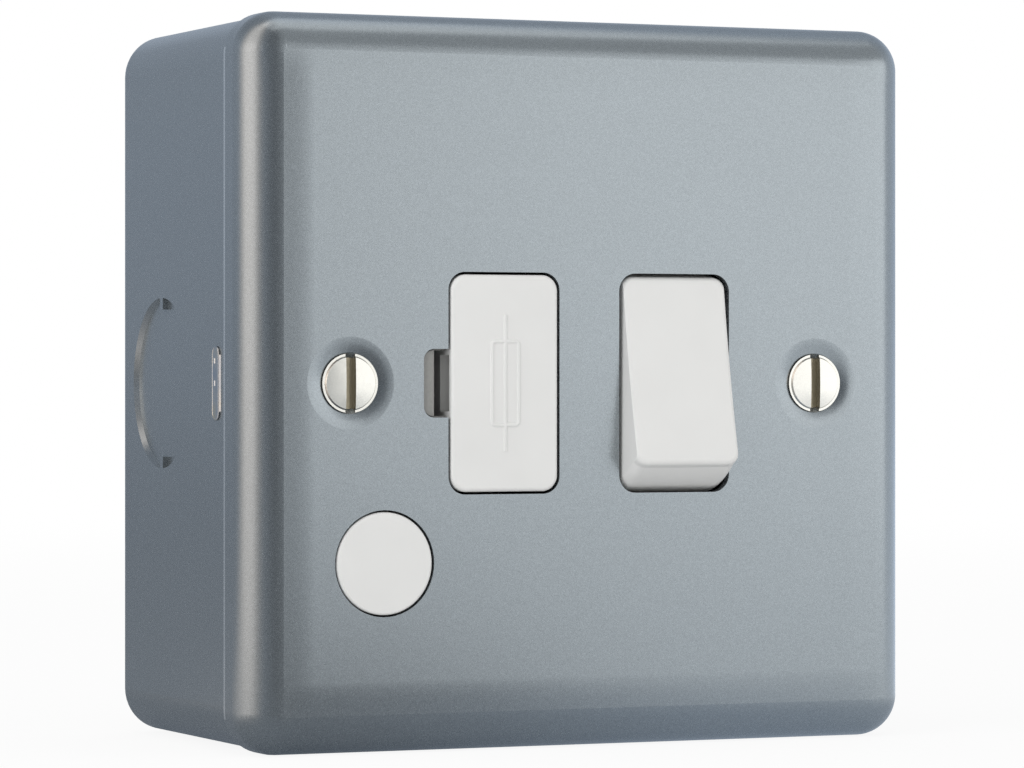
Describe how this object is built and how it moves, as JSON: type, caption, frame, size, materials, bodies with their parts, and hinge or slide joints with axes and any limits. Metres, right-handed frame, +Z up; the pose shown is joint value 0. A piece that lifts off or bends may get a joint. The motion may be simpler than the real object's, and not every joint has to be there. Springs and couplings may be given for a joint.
{
  "type": "fused connection unit",
  "caption": "Surface metal-clad fused spur unit: pressed grey box and plate, sliding fuse carrier, double-pole rocker and blanked flex outlet, all moving parts working.",
  "frame": {"origin": "centre of the back box's rear face, on the wall", "axes": "+Z up, the face looks along -Y, +X to the right of someone who looks at the face"},
  "size_m": [0.086, 0.049, 0.086],
  "materials": {
    "grey_paint": "satin metallic grey-blue powder coat",
    "zinc_steel": "bright zinc-plated steel",
    "plated_screw": "nickel-plated steel",
    "grey_plastic": "mid-grey moulded thermoset",
    "white_plastic": "smooth white moulded thermoset",
    "brass": "plain brass",
    "silver_contact": "silver contact rivet",
    "ceramic": "glazed ceramic tube"
  },
  "bodies": {
    "housing": {"back_box": "grey_paint", "left_fixing_lug": "zinc_steel", "right_fixing_lug": "zinc_steel", "box_earth_terminal": "brass", "box_earth_screw": "plated_screw", "front_plate": "grey_paint", "left_plate_screw": "plated_screw", "right_plate_screw": "plated_screw", "plate_studs": "zinc_steel", "stud_nuts": "plated_screw", "front_moulding": "grey_plastic", "rear_housing": "grey_plastic", "module_screws": "plated_screw", "outlet_blank": "white_plastic", "cord_clamp": "white_plastic", "cord_clamp_screws": "plated_screw", "supply_live_terminal": "brass", "supply_neutral_terminal": "brass", "supply_earth_terminal": "brass", "load_live_terminal": "brass", "load_neutral_terminal": "brass", "load_earth_terminal": "brass", "terminal_screws": "plated_screw", "earth_strap": "brass", "live_fixed_contact": "brass", "neutral_fixed_contact": "brass", "live_link": "brass", "load_live_link": "brass", "neutral_link": "brass", "fixed_contact_tips": "silver_contact"},
    "rocker": {"rocker": "white_plastic", "rocker_plungers": "grey_plastic", "plunger_springs": "plated_screw"},
    "contact_levers": {"live_moving_contact": "brass", "neutral_moving_contact": "brass", "moving_contact_tips": "silver_contact"},
    "fuse_carrier": {"fuse_carrier": "white_plastic", "fuse_tube": "ceramic", "upper_fuse_cap": "brass", "lower_fuse_cap": "brass"}
  },
  "joints": [
    {"name": "rocker_hinge", "type": "hinge", "parent": "housing", "child": "rocker", "pos_m": [0.0113, -0.039, 0], "axis": [1, 0, 0], "range_deg": [0, 22]},
    {"name": "contact_tilt", "type": "hinge", "parent": "housing", "child": "contact_levers", "pos_m": [0.0113, -0.0272, 0], "axis": [1, 0, 0], "range_deg": [-22, 0]},
    {"name": "carrier_slide", "type": "slide", "parent": "housing", "child": "fuse_carrier", "axis": [0, -1, 0], "range_m": [0, 0.016]}
  ],
  "couplings": [
    {"joint": "contact_tilt", "follows": "rocker_hinge", "ratio": -1}
  ]
}
